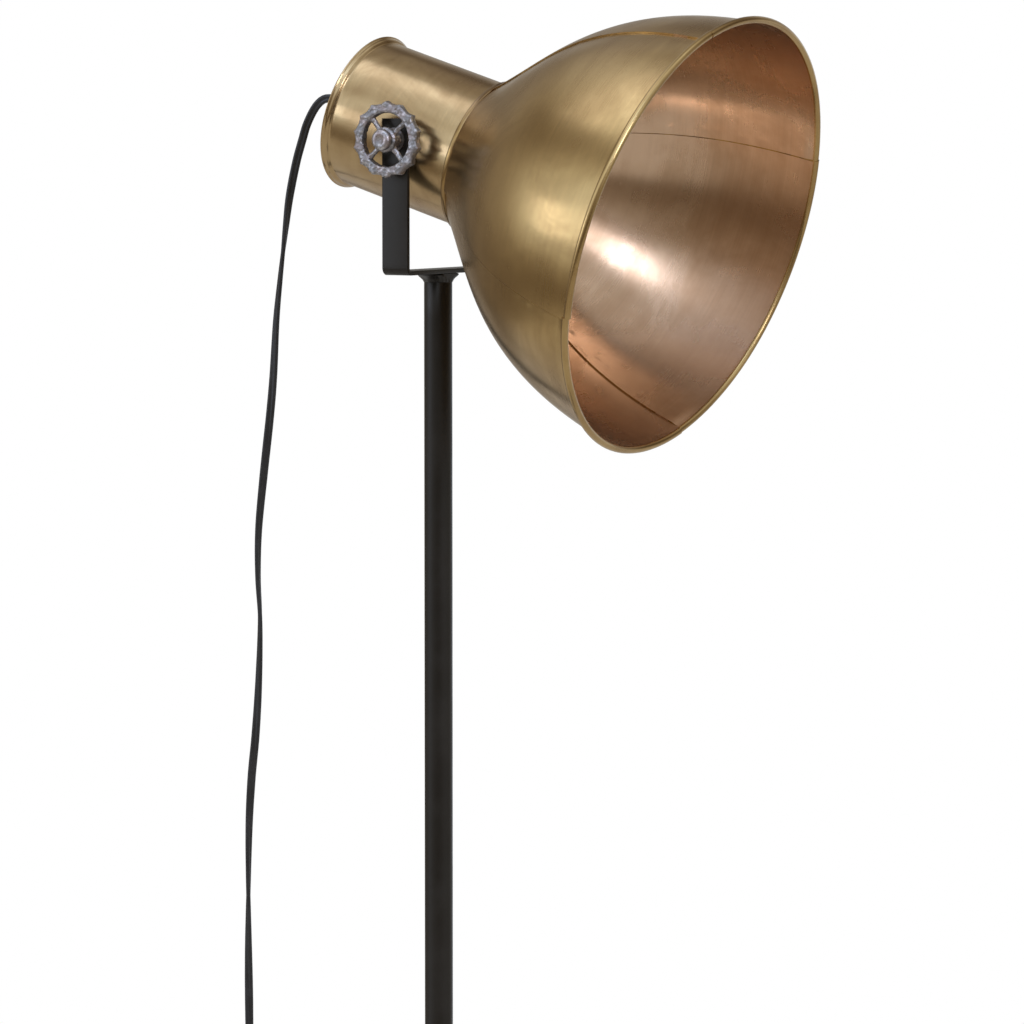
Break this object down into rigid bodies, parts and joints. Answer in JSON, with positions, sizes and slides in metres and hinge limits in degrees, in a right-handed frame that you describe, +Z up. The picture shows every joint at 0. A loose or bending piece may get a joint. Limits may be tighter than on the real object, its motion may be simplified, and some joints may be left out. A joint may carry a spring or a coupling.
{
  "type": "pharmacy floor lamp",
  "caption": "Floor lamp with a bell-shaped brass head in a steel yoke, clamped by cast handwheels, on a telescoping round pole and a round base.",
  "frame": {"origin": "on the floor at the pole's axis, the middle of the base's underside", "axes": "+Z up along the pole; the head looks along -Y and down; +X to the lamp's right-hand handwheel as it is seen from behind; the head pivots about an axis parallel to X"},
  "size_m": [0.3, 0.5092, 1.4992],
  "materials": {
    "antique_brass": "brushed brass with a dark hand-rubbed patina, clear-lacquered",
    "black_powder_coat": "satin black powder coat on steel",
    "cast_gunmetal": "sand-cast, gunmetal plated, tumbled",
    "zinc_plate": "zinc plated",
    "nylon": "moulded black nylon",
    "porcelain": "glazed porcelain",
    "contact_brass": "bright drawn brass",
    "black_plastic": "moulded, fine spark texture",
    "rubber": "moulded, matt",
    "cord_sheath": "black two-core flat sheath, satin",
    "felt": "pressed black felt"
  },
  "bodies": {
    "stand": {"base_felt": "felt", "base_plate": "black_powder_coat", "base_washer": "zinc_plate", "base_bolt": "zinc_plate", "base_collar": "black_powder_coat", "lower_tube": "black_powder_coat", "tube_foot": "zinc_plate", "guide_bush": "nylon", "lock_collar": "black_powder_coat", "cord_drop": "cord_sheath", "cord_floor": "cord_sheath", "cord_coil": "cord_sheath", "cord_tail": "cord_sheath", "plug_body": "black_plastic", "plug_pin_1": "contact_brass", "plug_pin_2": "contact_brass"},
    "lock_wheel": {"lock_wheel": "cast_gunmetal", "lock_wheel_bolt": "cast_gunmetal"},
    "mast": {"upper_tube": "black_powder_coat", "end_bush": "nylon", "yoke": "black_powder_coat", "cord_upper": "cord_sheath", "switch_back": "black_plastic", "switch_front": "black_plastic", "switch_screw_1": "zinc_plate", "switch_screw_2": "zinc_plate"},
    "head": {"rear_cap": "antique_brass", "rear_disc": "antique_brass", "neck_collar": "antique_brass", "shade_panel_1": "antique_brass", "shade_panel_2": "antique_brass", "shade_panel_3": "antique_brass", "shade_panel_4": "antique_brass", "left_weld_nut": "zinc_plate", "right_weld_nut": "zinc_plate", "left_inner_washer": "zinc_plate", "right_inner_washer": "zinc_plate", "lampholder_body": "porcelain", "lampholder_insulator": "porcelain", "lampholder_sleeve": "contact_brass", "lampholder_contact": "contact_brass", "nipple": "zinc_plate", "nipple_nut": "zinc_plate", "holder_nut": "zinc_plate", "cord_gland": "black_plastic", "strain_relief": "rubber"},
    "left_wheel": {"left_wheel": "cast_gunmetal", "left_wheel_bolt": "cast_gunmetal", "left_outer_washer": "cast_gunmetal"},
    "right_wheel": {"right_wheel": "cast_gunmetal", "right_wheel_bolt": "cast_gunmetal", "right_outer_washer": "cast_gunmetal"},
    "rocker": {"switch_rocker": "black_plastic"}
  },
  "joints": [
    {"name": "height_slide", "type": "slide", "parent": "stand", "child": "mast", "axis": [0, 0, 1], "range_m": [-0.54, 0], "deforming": ["cord_drop"]},
    {"name": "head_tilt", "type": "hinge", "parent": "mast", "child": "head", "pos_m": [0, 0, 1.418], "axis": [1, 0, 0], "range_deg": [-60, 14], "deforming": ["cord_upper"]},
    {"name": "left_wheel_turn", "type": "hinge", "parent": "head", "child": "left_wheel", "pos_m": [0, 0, 1.418], "axis": [-1, 0, 0], "continuous": true},
    {"name": "right_wheel_turn", "type": "hinge", "parent": "head", "child": "right_wheel", "pos_m": [0, 0, 1.418], "axis": [1, 0, 0], "continuous": true},
    {"name": "lock_wheel_turn", "type": "hinge", "parent": "stand", "child": "lock_wheel", "pos_m": [0, 0, 0.682], "axis": [-1, 0, 0], "continuous": true},
    {"name": "switch_rock", "type": "hinge", "parent": "mast", "child": "rocker", "pos_m": [0, 0.1605, 0.741], "axis": [1, 0, 0], "range_deg": [0, 14]}
  ]
}
